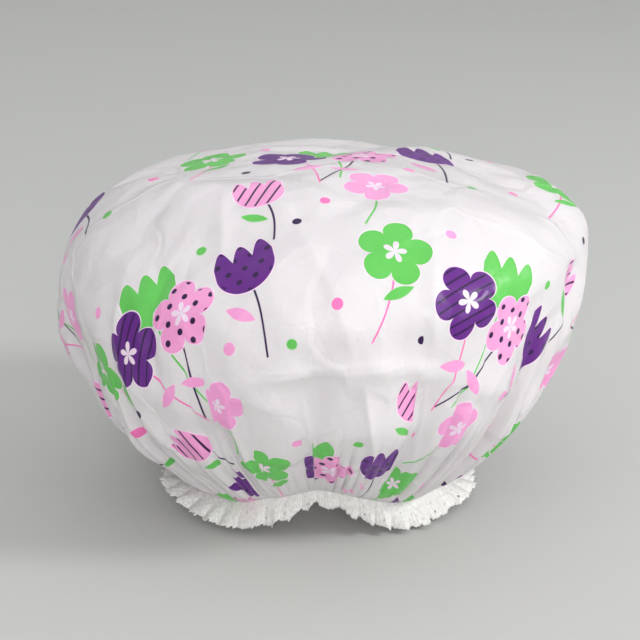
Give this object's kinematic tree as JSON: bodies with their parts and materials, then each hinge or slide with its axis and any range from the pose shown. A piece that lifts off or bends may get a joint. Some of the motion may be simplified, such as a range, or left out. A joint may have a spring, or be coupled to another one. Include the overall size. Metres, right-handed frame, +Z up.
{
  "type": "shower cap",
  "caption": "Puffed shower cap of thin translucent printed film, gathered at the hem on an elastic band, with a ruffled lace trim sewn behind the hem.",
  "frame": {"origin": "under the middle of the puffed cap, on the surface that its lace stands on", "axes": "+Z up through the crown, -Y the side that faces the viewer, +X to the viewer's right"},
  "size_m": [0.2276, 0.224, 0.1525],
  "materials": {
    "film": "frosted translucent film with a scattered floral print",
    "elastic": "woven elastic tape",
    "lace": "ribbed polyester lace",
    "thread": "twisted sewing thread"
  },
  "bodies": {
    "root": {"cap_film": "film", "elastic_band": "elastic", "lace_trim": "lace", "seam_needle_thread": "thread", "seam_bobbin_thread": "thread", "elastic_join_thread": "thread", "lace_join_thread": "thread"}
  },
  "joints": []
}
